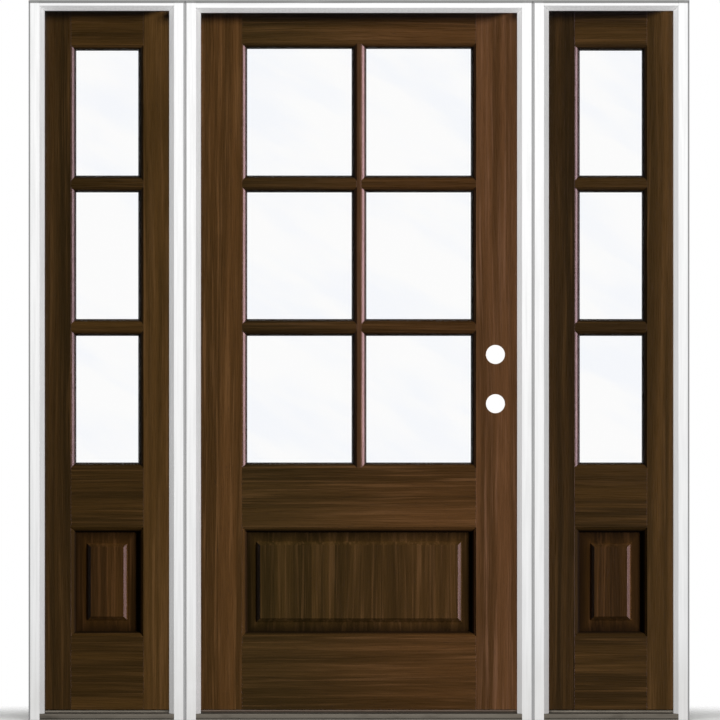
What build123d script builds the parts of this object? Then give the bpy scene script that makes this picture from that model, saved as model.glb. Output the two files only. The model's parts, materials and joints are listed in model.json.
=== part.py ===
from build123d import *
import math
import os

# Prehung entry unit: an inswing panelled and glazed door between two fixed sidelites.
# +X is to the right seen from outside, +Y runs into the house, +Z is up.
# The origin lies on the underside of the door sill, in the middle of the jamb depth.

# Door leaf
SLAB_WIDTH = 914.4
SLAB_HEIGHT = 1985.0
SLAB_THICK = 44.45
LEAF_GAP = 5.0
LOCK_EDGE_BEVEL = 2.8
DOOR_STILE = 125.4
DOOR_TOP_RAIL = 95.4
MID_RAIL = 169.5
PANEL_HEIGHT = 309.0
BOTTOM_RAIL = 208.0

# Sidelite leaves
SIDELITE_WIDTH = 381.0
SIDELITE_STILE = 88.0
SIDELITE_TOP_DROP = 5.0

# Moulded sticking round every opening
STICK_QUIRK = 1.5
STICK_BEVEL = 12.0
STICK_BOW = 1.6
STICK_LIP = 2.0

# Glazing bars and insulated glass
LITE_ROWS = 3
UPRIGHT_BAR = 13.0
CROSS_BAR = 19.0
GLASS_SHEET = 3.0
GLASS_EDGE_GAP = 2.0

# Raised panels
PANEL_PLAY = 0.3
FIELD_DROP = 3.5
SHOULDER_DROP = 13.0
SHOULDER_WIDTH = 11.5
DOOR_FIELD_INSET = 51.0
SIDELITE_FIELD_INSET = 56.0

# Jambs, stops and weatherstrip
JAMB_BOARD = 31.0
HEAD_BOARD = 22.0
SIDELITE_HEAD_BOARD = 16.0
JAMB_DEPTH = 115.9
JAMB_EASE = 4.5
HEAD_EASE = 9.0
STOP_RISE = 14.0
STOP_BEVEL = 18.0
STOP_JOINT = 0.2
SEAL_THICK = 8.0
SEAL_WIDTH = 12.0
SEAL_TAPER = 5.0
KERF_START = 3.0
KERF_WIDTH = 3.4
KERF_DEPTH = 8.0
KERF_PLAY = 0.3

# Sills and threshold
NOSING_HEIGHT = 17.0
NOSING_LIP = 12.0
NOSING_RECESS = 3.0
DECK_REAR = 20.0
SILL_WALL = 2.4
SILL_CELLS = 3
CAP_HEIGHT = 2.4
CAP_EASE = 2.0
CAP_TONGUE = 12.0
CAP_TONGUE_DEPTH = 4.0
CAP_PLAY = 0.3
CAP_SETBACK = 3.0
SEAT_SETBACK = 8.0
SWEEP_BASE = 2.0
SWEEP_DROP = 5.0
SWEEP_GAP = 0.6
SWEEP_FINS = 3
SWEEP_FIN = 3.0
SWEEP_INSET = 4.0

# Lock bores, edge plates and strikes
LOCK_BORE = 53.98
LOCK_BACKSET = 69.85
LATCH_HEIGHT = 868.0
LOCK_SPACING = 139.7
EDGE_BORE = 25.4
EDGE_PLATE_HEIGHT = 57.2
EDGE_PLATE_WIDTH = 28.6
EDGE_PLATE_DEPTH = 6.0
STRIKE_DEPTH = 24.0
STRIKE_PLATE_HEIGHT = 69.9
STRIKE_PLATE_WIDTH = 28.6
STRIKE_PLATE_DEPTH = 2.0

# Butt hinges
HINGE_HEIGHT = 101.6
HINGE_LEAF = 2.5
HINGE_DEPTH = 38.0
HINGE_CORNER = 15.9
HINGE_BARREL = 6.35
HINGE_PIN = 3.2
HINGE_PLAY = 0.3
HINGE_STANDOFF = 7.5
HINGE_TIP = 3.0
HINGE_TOP_MARGIN = 178.0
HINGE_FOOT_MARGIN = 279.0
KNUCKLES = 5

# Worked-out planes
FRONT = -JAMB_DEPTH / 2
REAR = JAMB_DEPTH / 2
FACE_IN = REAR
FACE_OUT = REAR - SLAB_THICK
CAP_TOP = DECK_REAR + CAP_HEIGHT
SLAB_BOTTOM = CAP_TOP + SWEEP_GAP + SWEEP_DROP
SLAB_TOP = SLAB_BOTTOM + SLAB_HEIGHT
HEAD_UNDER = SLAB_TOP + LEAF_GAP
FRAME_TOP = HEAD_UNDER + HEAD_BOARD
SIDELITE_HEAD_UNDER = FRAME_TOP - SIDELITE_HEAD_BOARD
DOOR_EDGE = SLAB_WIDTH / 2
DOOR_JAMB_FACE = DOOR_EDGE + LEAF_GAP
MULL = DOOR_JAMB_FACE + JAMB_BOARD
UNIT_EDGE = MULL + SIDELITE_WIDTH + 2 * JAMB_BOARD
STICK_WIDTH = STICK_QUIRK + STICK_BEVEL
STICK_DEPTH = STICK_WIDTH + STICK_LIP
PANEL_FOOT = SLAB_BOTTOM + BOTTOM_RAIL
PANEL_HEAD = PANEL_FOOT + PANEL_HEIGHT
LITE_FOOT = PANEL_HEAD + MID_RAIL
LITE_HEAD = SLAB_TOP - DOOR_TOP_RAIL
LITE_HEIGHT = (LITE_HEAD - LITE_FOOT - (LITE_ROWS - 1) * CROSS_BAR) / LITE_ROWS
DOOR_STOP_REAR = FACE_OUT - LEAF_GAP - SEAL_THICK
CAP_FRONT = FACE_OUT - CAP_SETBACK
SEAT_FRONT = FACE_OUT + SEAT_SETBACK


# Shape helpers


def block(x0, x1, y0, y1, z0, z1):
    centre = Pos((x0 + x1) / 2, (y0 + y1) / 2, (z0 + z1) / 2)
    return centre * Box(x1 - x0, y1 - y0, z1 - z0)


def upright_prism(points, z0, z1):
    return extrude(Plane.XY.offset(z0) * make_face(Polyline(*points, close=True)), amount=z1 - z0)


def cross_prism(outline, x0, x1):
    return extrude(Plane.YZ.offset(x0) * outline, amount=x1 - x0)


def polygon(points):
    return make_face(Polyline(*points, close=True))


def moulding(side, opening, outline, reach):
    """Run an outline of (distance into the opening, depth) along one side, mitred at both ends."""
    x0, x1, z0, z1 = opening
    starts = {
        "left": ((x0, 0, z0), (1, 0, 0), z1 - z0),
        "right": ((x1, 0, z1), (-1, 0, 0), z1 - z0),
        "bottom": ((x1, 0, z0), (0, 0, 1), x1 - x0),
        "top": ((x0, 0, z1), (0, 0, -1), x1 - x0),
    }
    origin, inward, length = starts[side]
    along = Vector(*inward).cross(Vector(0, 1, 0))
    run = extrude(Plane(origin, x_dir=inward, z_dir=along) * outline, amount=length)
    mitre = polygon([(0, 0), (reach, -reach), (reach, reach - length), (0, -length)])
    mitre_plane = Plane(origin, x_dir=inward, z_dir=(0, 1, 0))
    return run & extrude(mitre_plane * mitre, amount=JAMB_DEPTH, both=True)


def fused(pieces):
    whole = pieces[0]
    for piece in pieces[1:]:
        whole = whole + piece
    return whole


# Moulded profiles


def sticking_outline(face, into):
    """Sticking: a square quirk at the face, a bowed bevel and a small lip at the glass."""
    shoulder = face + into * STICK_QUIRK
    sight = face + into * STICK_WIDTH
    seat = face + into * STICK_DEPTH
    bow = STICK_BOW * math.sqrt(0.5)
    crown = (STICK_QUIRK + STICK_BEVEL / 2 + bow, (shoulder + sight) / 2 - into * bow)
    edges = [
        Line((0, shoulder), (STICK_QUIRK, shoulder)),
        ThreePointArc((STICK_QUIRK, shoulder), crown, (STICK_WIDTH, sight)),
        Line((STICK_WIDTH, sight), (STICK_WIDTH, seat)),
        Line((STICK_WIDTH, seat), (0, seat)),
        Line((0, seat), (0, shoulder)),
    ]
    return make_face(edges)


def outer_sticking(side, opening):
    return moulding(side, opening, sticking_outline(FACE_OUT, 1), STICK_WIDTH)


def inner_sticking(side, opening):
    return moulding(side, opening, sticking_outline(FACE_IN, -1), STICK_WIDTH)


# One glazed and panelled leaf, used for the door and for both sidelites


def lite_openings(x0, x1, columns, head):
    """Openings of the lites from the bottom row up, as rows of (x0, x1, z0, z1)."""
    width = (x1 - x0 - (columns - 1) * UPRIGHT_BAR) / columns
    rows = []
    for row in range(LITE_ROWS):
        foot = LITE_FOOT + row * (LITE_HEIGHT + CROSS_BAR)
        top = head if row == LITE_ROWS - 1 else foot + LITE_HEIGHT
        lefts = [x0 + column * (width + UPRIGHT_BAR) for column in range(columns)]
        rows.append([(left, left + width, foot, top) for left in lefts])
    return rows


def raised_panel(opening, inset):
    """Panel raised on both faces, its tongue held between the sticking of the members."""
    x0, x1, z0, z1 = opening
    back_play = STICK_DEPTH + PANEL_PLAY
    slope_foot = STICK_WIDTH + PANEL_PLAY
    half = [
        (PANEL_PLAY, back_play),
        (slope_foot, back_play),
        (inset - SHOULDER_WIDTH, SHOULDER_DROP),
        (inset, FIELD_DROP),
    ]
    outside = [(u, FACE_OUT + drop) for u, drop in half]
    inside = [(u, FACE_IN - drop) for u, drop in reversed(half)]
    outline = polygon(outside + inside)
    field = block(
        x0 + inset, x1 - inset, FACE_OUT + FIELD_DROP, FACE_IN - FIELD_DROP, z0 + inset, z1 - inset
    )
    sides = [moulding(side, opening, outline, inset) for side in ("left", "right", "bottom", "top")]
    return fused([field] + sides)


def glass_sheets(opening):
    """Two sheets of one sealed unit: the outer on the sticking, the inner on the glazing bead."""
    x0, x1, z0, z1 = opening
    edge = (x0 + GLASS_EDGE_GAP, x1 - GLASS_EDGE_GAP)
    ends = (z0 + GLASS_EDGE_GAP, z1 - GLASS_EDGE_GAP)
    outer = FACE_OUT + STICK_DEPTH
    inner = FACE_IN - STICK_DEPTH - GLASS_SHEET
    return [block(*edge, y, y + GLASS_SHEET, *ends) for y in (outer, inner)]


def glazing_bead(opening):
    sides = [inner_sticking(side, opening) for side in ("left", "right", "bottom", "top")]
    return fused(sides)


def leaf(x0, x1, foot, top, stile, columns, lite_head, field_inset):
    """Members, glass and panel of one leaf between x0 and x1."""
    inner0 = x0 + stile
    inner1 = x1 - stile
    rows = lite_openings(inner0, inner1, columns, lite_head)
    lites = [opening for row in rows for opening in row]
    panel_opening = (inner0, inner1, PANEL_FOOT, PANEL_HEAD)
    pieces = {}

    left = [block(x0, inner0, FACE_OUT, FACE_IN, foot, top)]
    right = [block(inner1, x1, FACE_OUT, FACE_IN, foot, top)]
    for row in rows:
        left.append(outer_sticking("left", row[0]))
        right.append(outer_sticking("right", row[-1]))
    for sticking in (outer_sticking, inner_sticking):
        left.append(sticking("left", panel_opening))
        right.append(sticking("right", panel_opening))
    pieces["left_stile"] = fused(left)
    pieces["right_stile"] = fused(right)

    top_rail = [block(inner0, inner1, FACE_OUT, FACE_IN, lite_head, top)]
    mid_rail = [block(inner0, inner1, FACE_OUT, FACE_IN, PANEL_HEAD, LITE_FOOT)]
    bottom_rail = [block(inner0, inner1, FACE_OUT, FACE_IN, foot, PANEL_FOOT)]
    top_rail += [outer_sticking("top", opening) for opening in rows[-1]]
    mid_rail += [outer_sticking("bottom", opening) for opening in rows[0]]
    for sticking in (outer_sticking, inner_sticking):
        mid_rail.append(sticking("top", panel_opening))
        bottom_rail.append(sticking("bottom", panel_opening))
    pieces["top_rail"] = fused(top_rail)
    pieces["mid_rail"] = fused(mid_rail)
    pieces["bottom_rail"] = fused(bottom_rail)

    cross_bars = []
    for below, above in zip(rows[:-1], rows[1:]):
        for lower, upper in zip(below, above):
            bar = block(lower[0], lower[1], FACE_OUT, FACE_IN, lower[3], upper[2])
            cross_bars.append(fused([bar, outer_sticking("top", lower), outer_sticking("bottom", upper)]))
    pieces["cross_bars"] = cross_bars

    uprights = []
    for column in range(columns - 1):
        bar_left = rows[0][column][1]
        bar = [block(bar_left, bar_left + UPRIGHT_BAR, FACE_OUT, FACE_IN, LITE_FOOT, lite_head)]
        for row in rows:
            bar.append(outer_sticking("right", row[column]))
            bar.append(outer_sticking("left", row[column + 1]))
        uprights.append(fused(bar))
    pieces["uprights"] = uprights

    pieces["glass"] = [sheet for opening in lites for sheet in glass_sheets(opening)]
    pieces["beads"] = [glazing_bead(opening) for opening in lites]
    pieces["panel"] = raised_panel(panel_opening, field_inset)
    return pieces


# Sills


def deck_height(y):
    """Height of the sloping deck at a depth y, from the nosing back to the cap."""
    return NOSING_HEIGHT + (DECK_REAR - NOSING_HEIGHT) * (y - FRONT) / (CAP_FRONT - FRONT)


def deck_outline():
    """Sill section with a drip recess under the nosing lip."""
    lip_foot = NOSING_HEIGHT - NOSING_LIP
    return polygon(
        [
            (FRONT + NOSING_RECESS, 0),
            (FRONT + NOSING_RECESS, lip_foot),
            (FRONT, lip_foot),
            (FRONT, NOSING_HEIGHT),
            (CAP_FRONT, DECK_REAR),
            (REAR, DECK_REAR),
            (REAR, 0),
        ]
    )


def sill_cells(x0, x1):
    """Hollow cells of the extrusion between its webs, under the sloping deck."""
    start = FRONT + NOSING_RECESS + SILL_WALL
    pitch = (CAP_FRONT - start) / SILL_CELLS
    cells = []
    for cell in range(SILL_CELLS):
        y0 = start + cell * pitch
        y1 = y0 + pitch - SILL_WALL
        corners = [
            (y0, SILL_WALL),
            (y0, deck_height(y0) - SILL_WALL),
            (y1, deck_height(y1) - SILL_WALL),
            (y1, SILL_WALL),
        ]
        cells.append(cross_prism(polygon(corners), x0, x1))
    return cells


def sill_cutter(x0, x1):
    """The room that the sill takes out of the foot of a stop."""
    base = -JAMB_DEPTH
    corners = [
        (FRONT, base),
        (FRONT, NOSING_HEIGHT),
        (CAP_FRONT, DECK_REAR),
        (REAR, DECK_REAR),
        (REAR, base),
    ]
    return cross_prism(polygon(corners), x0, x1)


def door_sill():
    body = cross_prism(deck_outline(), -DOOR_JAMB_FACE, DOOR_JAMB_FACE)
    middle = (CAP_FRONT + REAR) / 2
    slot = block(
        -DOOR_JAMB_FACE,
        DOOR_JAMB_FACE,
        middle - CAP_TONGUE / 2 - CAP_PLAY,
        middle + CAP_TONGUE / 2 + CAP_PLAY,
        DECK_REAR - CAP_TONGUE_DEPTH - CAP_PLAY,
        DECK_REAR,
    )
    return body - sill_cells(-DOOR_JAMB_FACE, DOOR_JAMB_FACE) - slot


def threshold_cap():
    middle = (CAP_FRONT + REAR) / 2
    outline = [
        (CAP_FRONT, DECK_REAR),
        (CAP_FRONT, CAP_TOP - CAP_EASE),
        (CAP_FRONT + 2 * CAP_EASE, CAP_TOP),
        (REAR - 2 * CAP_EASE, CAP_TOP),
        (REAR, CAP_TOP - CAP_EASE),
        (REAR, DECK_REAR),
        (middle + CAP_TONGUE / 2, DECK_REAR),
        (middle + CAP_TONGUE / 2, DECK_REAR - CAP_TONGUE_DEPTH),
        (middle - CAP_TONGUE / 2, DECK_REAR - CAP_TONGUE_DEPTH),
        (middle - CAP_TONGUE / 2, DECK_REAR),
    ]
    return cross_prism(polygon(outline), -DOOR_JAMB_FACE, DOOR_JAMB_FACE)


def sidelite_sill(x0, x1):
    deck = cross_prism(deck_outline(), x0, x1)
    seat = block(x0, x1, SEAT_FRONT, REAR, DECK_REAR, SLAB_BOTTOM)
    hollow = block(
        x0, x1, SEAT_FRONT + SILL_WALL, REAR - SILL_WALL, DECK_REAR, SLAB_BOTTOM - SILL_WALL
    )
    return deck + seat - sill_cells(x0, x1) - hollow


# Jambs and stops of one box


def side_board(back, face):
    """Jamb board from its back to its inner face, the outer front arris eased."""
    ease = math.copysign(JAMB_EASE, face - back)
    points = [
        (back + ease, FRONT),
        (face, FRONT),
        (face, REAR),
        (back, REAR),
        (back, FRONT + JAMB_EASE),
    ]
    return upright_prism(points, 0, FRAME_TOP) - head_ease(min(back, face), max(back, face))


def head_ease(x0, x1):
    """Wedge that eases the top front arris of the head."""
    corners = [(FRONT, FRAME_TOP - HEAD_EASE), (FRONT, FRAME_TOP), (FRONT + JAMB_EASE, FRAME_TOP)]
    return cross_prism(polygon(corners), x0, x1)


def head_board(x0, x1, under):
    return block(x0, x1, FRONT, REAR, under, FRAME_TOP) - head_ease(x0, x1)


def lining(x0, x1, under, outline, reach):
    """Run an outline up both jambs and across the head, mitred with a hairline joint."""
    opening = (x0, x1, -reach, under)
    sides = [moulding(side, opening, outline, reach) for side in ("left", "right")]
    sides = [Pos(0, 0, -STOP_JOINT) * side - sill_cutter(x0, x1) for side in sides]
    return sides + [moulding("top", opening, outline, reach)]


def bevelled_stop(rear):
    return [(0, FRONT), (STOP_RISE, FRONT + STOP_BEVEL), (STOP_RISE, rear), (0, rear)]


def kerfed_stop(rear):
    """Stop with a kerf in its rear face for the barb of the weatherstrip."""
    floor = rear - KERF_DEPTH
    far = KERF_START + KERF_WIDTH
    kerf = [(far, rear), (far, floor), (KERF_START, floor), (KERF_START, rear)]
    return bevelled_stop(rear)[:3] + kerf + [(0, rear)]


# Weatherstrip and sweep of the door


def weatherstrip(rear):
    """Foam strip with its barb in the kerf, tapered where the leaf meets it."""
    face = rear + SEAL_THICK
    barb = rear - KERF_DEPTH + KERF_PLAY
    near = KERF_START + KERF_PLAY
    far = KERF_START + KERF_WIDTH - KERF_PLAY
    return [
        (0, rear),
        (near, rear),
        (near, barb),
        (far, barb),
        (far, rear),
        (SEAL_WIDTH, rear),
        (SEAL_WIDTH, face - SEAL_TAPER),
        (SEAL_WIDTH - SEAL_TAPER, face),
        (0, face),
    ]


def door_sweep():
    x0 = SWEEP_INSET - DOOR_EDGE
    x1 = DOOR_EDGE - LOCK_EDGE_BEVEL - SWEEP_INSET
    y0 = FACE_OUT + SWEEP_INSET
    y1 = FACE_IN - SWEEP_INSET
    pieces = [block(x0, x1, y0, y1, SLAB_BOTTOM - SWEEP_BASE, SLAB_BOTTOM)]
    pitch = (y1 - y0 - SWEEP_FIN) / (SWEEP_FINS - 1)
    for fin in range(SWEEP_FINS):
        start = y0 + fin * pitch
        foot = SLAB_BOTTOM - SWEEP_DROP
        pieces.append(block(x0, x1, start, start + SWEEP_FIN, foot, SLAB_BOTTOM - SWEEP_BASE))
    return fused(pieces)


# Butt hinges

HINGE_X = -DOOR_EDGE - LEAF_GAP / 2
HINGE_Y = FACE_IN + HINGE_STANDOFF
KNUCKLE = HINGE_HEIGHT / KNUCKLES
TOP_HINGE = SLAB_TOP - HINGE_TOP_MARGIN - HINGE_HEIGHT / 2
FOOT_HINGE = SLAB_BOTTOM + HINGE_FOOT_MARGIN + HINGE_HEIGHT / 2
HINGE_LEVELS = [FOOT_HINGE, (FOOT_HINGE + TOP_HINGE) / 2, TOP_HINGE]


def leaf_plate(face, into, level):
    """Flat hinge leaf with round corners, let into a surface at x = face, thickness towards into."""
    outline = Rectangle(HINGE_DEPTH, HINGE_HEIGHT)
    outline = fillet(outline.vertices().group_by(Axis.X)[0], HINGE_CORNER)
    place = Plane.YZ.offset(face) * Pos(FACE_IN - HINGE_DEPTH / 2, level)
    return extrude(place * outline, amount=into * HINGE_LEAF)


def hinge_half(face, into, level, first):
    """A leaf with every second knuckle, counted from the one given by first."""
    half = leaf_plate(face, into, level)
    x0, x1 = sorted((face, face + into * HINGE_LEAF))
    for knuckle in range(first, KNUCKLES, 2):
        foot = level - HINGE_HEIGHT / 2 + knuckle * KNUCKLE + HINGE_PLAY / 2
        tall = KNUCKLE - HINGE_PLAY
        barrel = Pos(HINGE_X, HINGE_Y, foot + tall / 2) * Cylinder(HINGE_BARREL, tall)
        half = half + block(x0, x1, FACE_IN, HINGE_Y, foot, foot + tall) + barrel
    bore = Pos(HINGE_X, HINGE_Y, level) * Cylinder(HINGE_PIN + HINGE_PLAY, HINGE_HEIGHT)
    return half - bore


def hinge_pin(level):
    """Pin with a button tip seated on the top and the foot of the barrel."""
    half = HINGE_HEIGHT / 2 - HINGE_PLAY / 2
    shank = Pos(HINGE_X, HINGE_Y, level) * Cylinder(HINGE_PIN, 2 * half)
    tip = Cylinder(HINGE_BARREL, HINGE_TIP)
    upper = Pos(HINGE_X, HINGE_Y, level + half + HINGE_TIP / 2) * tip
    lower = Pos(HINGE_X, HINGE_Y, level - half - HINGE_TIP / 2) * tip
    return shank + upper + lower


def door_mortises():
    return [leaf_plate(-DOOR_EDGE, 1, level) for level in HINGE_LEVELS]


def jamb_mortises():
    return [leaf_plate(-DOOR_JAMB_FACE, -1, level) for level in HINGE_LEVELS]


# Lock edge, lock bores and strikes

LOCK_LEVELS = [SLAB_BOTTOM + LATCH_HEIGHT, SLAB_BOTTOM + LATCH_HEIGHT + LOCK_SPACING]
LOCK_X = DOOR_EDGE - LOCK_BACKSET
LOCK_Y = (FACE_OUT + FACE_IN) / 2


def lock_edge_wedge():
    """Wedge planed off the lock edge so that the outside face is the narrower one."""
    points = [
        (DOOR_EDGE, FACE_IN),
        (DOOR_EDGE, FACE_OUT),
        (DOOR_EDGE - LOCK_EDGE_BEVEL, FACE_OUT),
    ]
    return upright_prism(points, SLAB_BOTTOM, SLAB_TOP)


def plate_mortise(x0, x1, width, height, level):
    return block(x0, x1, LOCK_Y - width / 2, LOCK_Y + width / 2, level - height / 2, level + height / 2)


def edge_hole(x0, x1, level):
    return Pos((x0 + x1) / 2, LOCK_Y, level) * Rot(0, 90, 0) * Cylinder(EDGE_BORE / 2, x1 - x0)


def lock_bores():
    """Cross bores through the leaf, with the latch holes and plate mortises in its edge."""
    cuts = []
    for level in LOCK_LEVELS:
        cuts.append(Pos(LOCK_X, LOCK_Y, level) * Rot(90, 0, 0) * Cylinder(LOCK_BORE / 2, SLAB_THICK))
        cuts.append(edge_hole(LOCK_X, DOOR_EDGE, level))
        floor = DOOR_EDGE - EDGE_PLATE_DEPTH
        cuts.append(plate_mortise(floor, DOOR_EDGE, EDGE_PLATE_WIDTH, EDGE_PLATE_HEIGHT, level))
    return cuts


def strike_bores():
    """Bolt holes and strike plate mortises in the strike jamb."""
    cuts = []
    for level in LOCK_LEVELS:
        cuts.append(edge_hole(DOOR_JAMB_FACE, DOOR_JAMB_FACE + STRIKE_DEPTH, level))
        floor = DOOR_JAMB_FACE + STRIKE_PLATE_DEPTH
        cuts.append(plate_mortise(DOOR_JAMB_FACE, floor, STRIKE_PLATE_WIDTH, STRIKE_PLATE_HEIGHT, level))
    return cuts


# Assembly

nodes = {}

door = leaf(
    -DOOR_EDGE, DOOR_EDGE, SLAB_BOTTOM, SLAB_TOP, DOOR_STILE, 2, LITE_HEAD, DOOR_FIELD_INSET
)
nodes["door_hinge_stile"] = door["left_stile"] - door_mortises()
nodes["door_lock_stile"] = door["right_stile"] - lock_edge_wedge() - lock_bores()
nodes["door_top_rail"] = door["top_rail"]
nodes["door_mid_rail"] = door["mid_rail"]
nodes["door_bottom_rail"] = door["bottom_rail"]
nodes["door_vertical_muntin"] = door["uprights"]
nodes["door_cross_muntins"] = door["cross_bars"]
nodes["door_glass"] = door["glass"]
nodes["door_glazing_beads"] = door["beads"]
nodes["door_panel"] = door["panel"]
nodes["door_sweep"] = door_sweep()
nodes["door_hinge_leaves"] = [hinge_half(-DOOR_EDGE, 1, level, 1) for level in HINGE_LEVELS]

nodes["door_hinge_jamb"] = side_board(-MULL, -DOOR_JAMB_FACE) - jamb_mortises()
nodes["door_strike_jamb"] = side_board(MULL, DOOR_JAMB_FACE) - strike_bores()
nodes["door_head_jamb"] = head_board(-DOOR_JAMB_FACE, DOOR_JAMB_FACE, HEAD_UNDER)
nodes["door_stops"] = lining(
    -DOOR_JAMB_FACE, DOOR_JAMB_FACE, HEAD_UNDER, polygon(kerfed_stop(DOOR_STOP_REAR)), STOP_RISE
)
nodes["door_weatherstrip"] = lining(
    -DOOR_JAMB_FACE, DOOR_JAMB_FACE, HEAD_UNDER, polygon(weatherstrip(DOOR_STOP_REAR)), SEAL_WIDTH
)
nodes["door_sill"] = door_sill()
nodes["door_threshold_cap"] = threshold_cap()
nodes["jamb_hinge_leaves"] = [hinge_half(-DOOR_JAMB_FACE, -1, level, 0) for level in HINGE_LEVELS]
nodes["hinge_pins"] = [hinge_pin(level) for level in HINGE_LEVELS]

for name, outer in (("left", -UNIT_EDGE), ("right", UNIT_EDGE)):
    mull = math.copysign(MULL, outer)
    board = math.copysign(JAMB_BOARD, outer)
    x0, x1 = sorted((outer - board, mull + board))
    lite = leaf(
        x0,
        x1,
        SLAB_BOTTOM,
        SIDELITE_HEAD_UNDER,
        SIDELITE_STILE,
        1,
        LITE_HEAD - SIDELITE_TOP_DROP,
        SIDELITE_FIELD_INSET,
    )
    nodes[name + "_sidelite_outer_jamb"] = side_board(outer, outer - board)
    nodes[name + "_sidelite_mull_jamb"] = side_board(mull, mull + board)
    nodes[name + "_sidelite_head_jamb"] = head_board(x0, x1, SIDELITE_HEAD_UNDER)
    stop_outline = polygon(bevelled_stop(FACE_OUT))
    nodes[name + "_sidelite_stops"] = lining(x0, x1, SIDELITE_HEAD_UNDER, stop_outline, STOP_RISE)
    nodes[name + "_sidelite_sill"] = sidelite_sill(x0, x1)
    nodes[name + "_sidelite_stiles"] = [lite["left_stile"], lite["right_stile"]]
    nodes[name + "_sidelite_rails"] = [lite["top_rail"], lite["mid_rail"], lite["bottom_rail"]]
    nodes[name + "_sidelite_muntins"] = lite["cross_bars"]
    nodes[name + "_sidelite_glass"] = lite["glass"]
    nodes[name + "_sidelite_glazing_beads"] = lite["beads"]
    nodes[name + "_sidelite_panel"] = lite["panel"]

os.makedirs("parts", exist_ok=True)
for name, shape in nodes.items():
    pieces = shape if isinstance(shape, list) else [shape]
    solids = [solid for piece in pieces for solid in piece.solids()]
    export_step(Compound(children=solids), "parts/" + name + ".step")
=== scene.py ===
import json
import math

import bmesh
import bpy
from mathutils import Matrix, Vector

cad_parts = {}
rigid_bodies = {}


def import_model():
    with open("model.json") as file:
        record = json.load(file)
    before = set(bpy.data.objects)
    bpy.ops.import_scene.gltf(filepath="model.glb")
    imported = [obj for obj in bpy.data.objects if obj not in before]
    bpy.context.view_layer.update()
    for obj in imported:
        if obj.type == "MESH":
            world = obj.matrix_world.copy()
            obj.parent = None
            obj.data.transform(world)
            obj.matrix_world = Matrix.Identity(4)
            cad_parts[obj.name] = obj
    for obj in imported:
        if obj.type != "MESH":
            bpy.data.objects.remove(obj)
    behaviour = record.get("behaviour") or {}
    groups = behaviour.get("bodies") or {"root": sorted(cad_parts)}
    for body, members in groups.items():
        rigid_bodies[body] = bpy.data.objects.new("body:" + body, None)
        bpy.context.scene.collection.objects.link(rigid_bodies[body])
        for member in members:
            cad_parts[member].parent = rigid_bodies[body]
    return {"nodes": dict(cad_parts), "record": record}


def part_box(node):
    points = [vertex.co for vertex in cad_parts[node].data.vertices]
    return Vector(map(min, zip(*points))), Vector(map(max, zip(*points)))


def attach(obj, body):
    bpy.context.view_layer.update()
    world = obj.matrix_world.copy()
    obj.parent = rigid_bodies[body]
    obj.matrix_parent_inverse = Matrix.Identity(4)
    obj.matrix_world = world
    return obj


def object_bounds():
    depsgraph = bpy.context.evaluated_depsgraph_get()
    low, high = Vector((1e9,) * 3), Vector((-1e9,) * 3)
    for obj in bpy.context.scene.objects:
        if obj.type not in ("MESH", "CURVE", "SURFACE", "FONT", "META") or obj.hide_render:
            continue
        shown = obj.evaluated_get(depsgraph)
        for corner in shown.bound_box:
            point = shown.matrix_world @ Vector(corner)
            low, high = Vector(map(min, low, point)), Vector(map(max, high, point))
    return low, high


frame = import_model()
nodes = frame["nodes"]
cad_low, cad_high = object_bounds()


# Jamb boards and heads: finger-jointed pine boards, primed white at the mill.
# Each box is nailed through its head, and the boxes are screwed together back to back.
# Grey is painted on the eased front arrises and in the mull groove as shade, darker on the head's top arris.

JAMB_EASE = 0.0046
HEAD_EASE = 0.0092
JAMB_SOFTNESS = 0.0006
WHITE_PRIMER = (238, 238, 238)
THIN_PRIMER = (228, 228, 228)
ARRIS_PAINTED_SHADE = (176, 176, 176)
HEAD_ARRIS_PAINTED_SHADE = (132, 132, 131)
FOOT_DUST = (206, 203, 197)
DUST_HEIGHT = 0.30
DUST_SHARE = 0.55
UPRIGHT_WAVES = (160.0, 160.0, 5.0)
LEVEL_WAVES = (5.0, 160.0, 160.0)
STIPPLE_WAVES = (420.0, 420.0, 420.0)
DUST_WAVES = (9.0, 9.0, 14.0)
BOARDS = (
    "door_hinge_jamb",
    "left_sidelite_outer_jamb",
    "left_sidelite_mull_jamb",
    "right_sidelite_mull_jamb",
    "right_sidelite_outer_jamb",
)

unit_edge = cad_high.x
unit_front = cad_low.y
unit_top = cad_high.z
mull_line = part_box("door_strike_jamb")[1].x


def colour(shade):
    """A shade written as 0 to 255 for each of red, green and blue, as the shader takes it."""
    linear = []
    for channel in shade:
        part = channel / 255
        linear.append(part / 12.92 if part <= 0.04045 else ((part + 0.055) / 1.055) ** 2.4)
    return (*linear, 1.0)


def add_node(tree, kind, settings=None, inputs=None):
    """Add a shader node, set its properties, and give each input a value or a link."""
    node = tree.nodes.new(kind)
    for key, value in (settings or {}).items():
        setattr(node, key, value)
    for key, value in (inputs or {}).items():
        if isinstance(value, bpy.types.NodeSocket):
            tree.links.new(value, node.inputs[key])
        else:
            node.inputs[key].default_value = value
    return node


def maths(tree, operation, *values):
    node = add_node(tree, "ShaderNodeMath", {"operation": operation}, dict(enumerate(values)))
    return node.outputs[0]


def vector_maths(tree, operation, *values):
    node = add_node(tree, "ShaderNodeVectorMath", {"operation": operation}, dict(enumerate(values)))
    return node.outputs[0]


def vector_length(tree, vector):
    node = add_node(tree, "ShaderNodeVectorMath", {"operation": "LENGTH"}, {0: vector})
    return node.outputs["Value"]


def ease(tree, value, low, high, at_low=0.0, at_high=1.0):
    """Go smoothly from one value to another while the input goes from low to high."""
    inputs = {"Value": value, "From Min": low, "From Max": high, "To Min": at_low, "To Max": at_high}
    node = add_node(tree, "ShaderNodeMapRange", {"interpolation_type": "SMOOTHSTEP"}, inputs)
    return node.outputs[0]


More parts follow.
